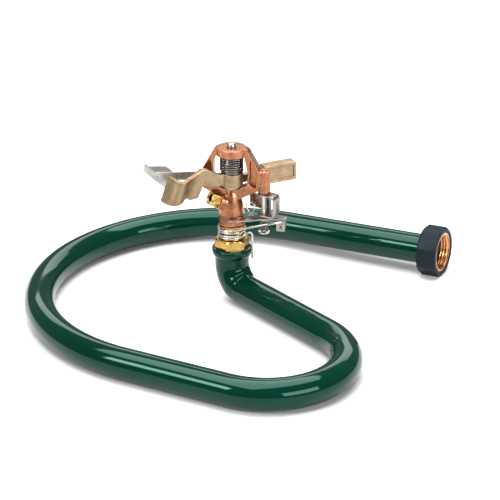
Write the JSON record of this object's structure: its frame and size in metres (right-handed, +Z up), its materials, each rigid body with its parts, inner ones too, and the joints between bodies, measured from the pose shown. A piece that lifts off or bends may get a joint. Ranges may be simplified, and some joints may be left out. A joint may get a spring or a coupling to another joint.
{
  "type": "impact sprinkler",
  "caption": "Impact sprinkler with a trip for part-circle watering, standing on an elbow at the inner end of a bent steel tube ring with a swivel hose coupling at the outer end.",
  "frame": {"origin": "centre of the part's bounding box in plan, at the ground", "axes": "+Z up along the riser, +X along the inlet leg towards the hose coupling, +Y from the front of the ring to the inlet leg"},
  "size_m": [0.2792, 0.2828, 0.1202],
  "materials": {
    "ring_paint": "gloss dark green paint on bent steel tube",
    "machined_brass": "machined, slightly dulled",
    "cast_copper": "die-cast, satin, copper coloured",
    "cast_brass": "sand-cast, tumbled, pale tan",
    "stainless": "satin",
    "spring_wire": "drawn wire",
    "grip_plastic": "moulded, satin, dark blue-grey",
    "rubber": "matt",
    "nylon": "plain"
  },
  "bodies": {
    "base": {"ring_back_leg": "ring_paint", "ring_small_bend": "ring_paint", "ring_front_leg": "ring_paint", "ring_near_bend": "ring_paint", "ring_far_bend": "ring_paint", "ring_inlet_leg": "ring_paint", "elbow": "ring_paint", "inlet_ferrule": "machined_brass", "bearing_sleeve": "machined_brass"},
    "coupling": {"coupling_cover": "grip_plastic", "coupling_nut": "machined_brass", "hose_washer": "rubber"},
    "left_collar": {"left_collar": "stainless"},
    "right_collar": {"right_collar": "stainless"},
    "head": {"bearing_nipple": "machined_brass", "seal_washer": "rubber", "friction_washer": "nylon", "bearing_spring": "spring_wire", "body_casting": "cast_copper", "nozzle": "machined_brass", "fulcrum_pin": "stainless", "trip_pin": "stainless", "pin_spring": "spring_wire", "pin_clip": "machined_brass", "thrust_washer": "nylon", "arm_spring": "spring_wire", "deflector_rivet": "stainless"},
    "arm": {"impact_arm": "cast_brass", "arm_bush": "machined_brass"},
    "deflector": {"deflector": "stainless"},
    "trip_lever": {"trip_lever": "stainless", "trip_spring": "spring_wire"},
    "trip_bracket": {"trip_bracket": "stainless"}
  },
  "joints": [
    {"name": "head_spin", "type": "hinge", "parent": "base", "child": "head", "pos_m": [0.00025, 0.01895, 0.045], "axis": [0, 0, 1], "range_deg": [0, 320]},
    {"name": "arm_swing", "type": "hinge", "parent": "head", "child": "arm", "pos_m": [0.00025, 0.01895, 0.093], "axis": [0, 0, 1], "range_deg": [0, 95], "stiffness_Nm_per_rad": 0.02, "springref_deg": -20.05},
    {"name": "coupling_swivel", "type": "hinge", "parent": "base", "child": "coupling", "pos_m": [0.11243, 0.12389, 0.01764], "axis": [0.9996, 0, 0.027], "continuous": true},
    {"name": "left_collar_turn", "type": "hinge", "parent": "base", "child": "left_collar", "pos_m": [0.00025, 0.01895, 0.051], "axis": [0, 0, 1], "continuous": true},
    {"name": "right_collar_turn", "type": "hinge", "parent": "base", "child": "right_collar", "pos_m": [0.00025, 0.01895, 0.055], "axis": [0, 0, 1], "range_deg": [-320, 0]},
    {"name": "deflector_tilt", "type": "hinge", "parent": "head", "child": "deflector", "pos_m": [-0.01575, 0.01451, 0.0962], "axis": [-0.2672, 0.9636, 0], "range_deg": [-5, 25]},
    {"name": "trip_lever_turn", "type": "hinge", "parent": "head", "child": "trip_lever", "pos_m": [0.02289, 0.02523, 0.0648], "axis": [0, 0, 1], "range_deg": [0, 14]},
    {"name": "trip_bracket_turn", "type": "hinge", "parent": "head", "child": "trip_bracket", "pos_m": [0.02289, 0.02523, 0.075], "axis": [0, 0, 1], "range_deg": [-14, 0]}
  ],
  "couplings": [
    {"joint": "trip_bracket_turn", "follows": "trip_lever_turn", "ratio": -1}
  ]
}
